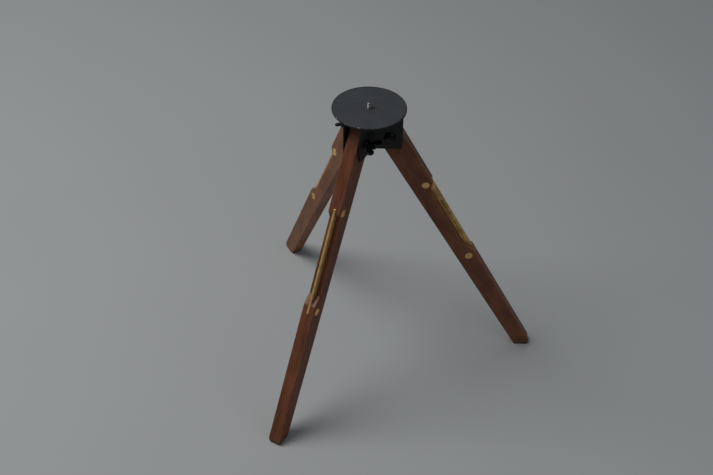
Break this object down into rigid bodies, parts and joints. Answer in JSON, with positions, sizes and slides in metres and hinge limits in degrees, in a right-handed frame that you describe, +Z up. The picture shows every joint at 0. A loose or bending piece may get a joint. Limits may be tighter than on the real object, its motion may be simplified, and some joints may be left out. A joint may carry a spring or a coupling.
{
  "type": "table tripod",
  "caption": "Small wooden tripod: a round black steel head with a threaded stud, and tapered legs that fold on bolts and are clamped by wing nuts.",
  "frame": {"origin": "on the floor, in the middle of the open tripod's bounding box; the head's axis is 59.1 mm towards -X from it", "axes": "+Z up, out of the head disc; +X is the direction of leg 1, and legs 2 and 3 follow anticlockwise at 120 and 240 degrees about the head's axis"},
  "size_m": [0.386, 0.4458, 0.4362],
  "materials": {
    "wood": "dark reddish walnut, oiled, satin, with fine straight grain along the leg",
    "brass_plate": "dull brushed brass with light tarnish",
    "brass_rivet": "brass, sanded flush",
    "rubber_pad": "matt black",
    "painted_disc": "satin black-grey paint",
    "painted_bracket": "satin black paint",
    "black_bolt": "black oxide, slightly glossy",
    "black_washer": "black oxide",
    "black_wing_nut": "black, glossy, cast surface",
    "spacer": "black nylon",
    "bright_stud": "bright zinc-plated steel"
  },
  "bodies": {
    "head": {"head_disc": "painted_disc", "camera_stud": "bright_stud", "stud_washer": "black_washer", "stud_lock_nut": "black_bolt", "bracket_1": "painted_bracket", "hinge_bolt_1": "black_bolt", "head_side_spacer_1": "spacer", "nut_side_spacer_1": "spacer", "nut_washer_1": "black_washer", "bracket_2": "painted_bracket", "hinge_bolt_2": "black_bolt", "head_side_spacer_2": "spacer", "nut_side_spacer_2": "spacer", "nut_washer_2": "black_washer", "bracket_3": "painted_bracket", "hinge_bolt_3": "black_bolt", "head_side_spacer_3": "spacer", "nut_side_spacer_3": "spacer", "nut_washer_3": "black_washer"},
    "leg_1": {"leg_1_bar": "wood", "leg_1_plate": "brass_plate", "leg_1_upper_rivet": "brass_rivet", "leg_1_lower_rivet": "brass_rivet", "leg_1_pad": "rubber_pad"},
    "nut_1": {"wing_nut_1": "black_wing_nut"},
    "leg_2": {"leg_2_bar": "wood", "leg_2_plate": "brass_plate", "leg_2_upper_rivet": "brass_rivet", "leg_2_lower_rivet": "brass_rivet", "leg_2_pad": "rubber_pad"},
    "nut_2": {"wing_nut_2": "black_wing_nut"},
    "leg_3": {"leg_3_bar": "wood", "leg_3_plate": "brass_plate", "leg_3_upper_rivet": "brass_rivet", "leg_3_lower_rivet": "brass_rivet", "leg_3_pad": "rubber_pad"},
    "nut_3": {"wing_nut_3": "black_wing_nut"}
  },
  "joints": [
    {"name": "leg_1_fold", "type": "hinge", "parent": "head", "child": "leg_1", "pos_m": [-0.03064, 0, 0.3895], "axis": [0, 1, 0], "range_deg": [0, 30]},
    {"name": "nut_1_turn", "type": "hinge", "parent": "head", "child": "nut_1", "pos_m": [-0.03064, 0, 0.3895], "axis": [0, 1, 0], "continuous": true},
    {"name": "leg_2_fold", "type": "hinge", "parent": "head", "child": "leg_2", "pos_m": [-0.0734, 0.02468, 0.3895], "axis": [-0.866, -0.5, 0], "range_deg": [0, 30]},
    {"name": "nut_2_turn", "type": "hinge", "parent": "head", "child": "nut_2", "pos_m": [-0.0734, 0.02468, 0.3895], "axis": [-0.866, -0.5, 0], "continuous": true},
    {"name": "leg_3_fold", "type": "hinge", "parent": "head", "child": "leg_3", "pos_m": [-0.0734, -0.02468, 0.3895], "axis": [0.866, -0.5, 0], "range_deg": [0, 30]},
    {"name": "nut_3_turn", "type": "hinge", "parent": "head", "child": "nut_3", "pos_m": [-0.0734, -0.02468, 0.3895], "axis": [0.866, -0.5, 0], "continuous": true}
  ]
}
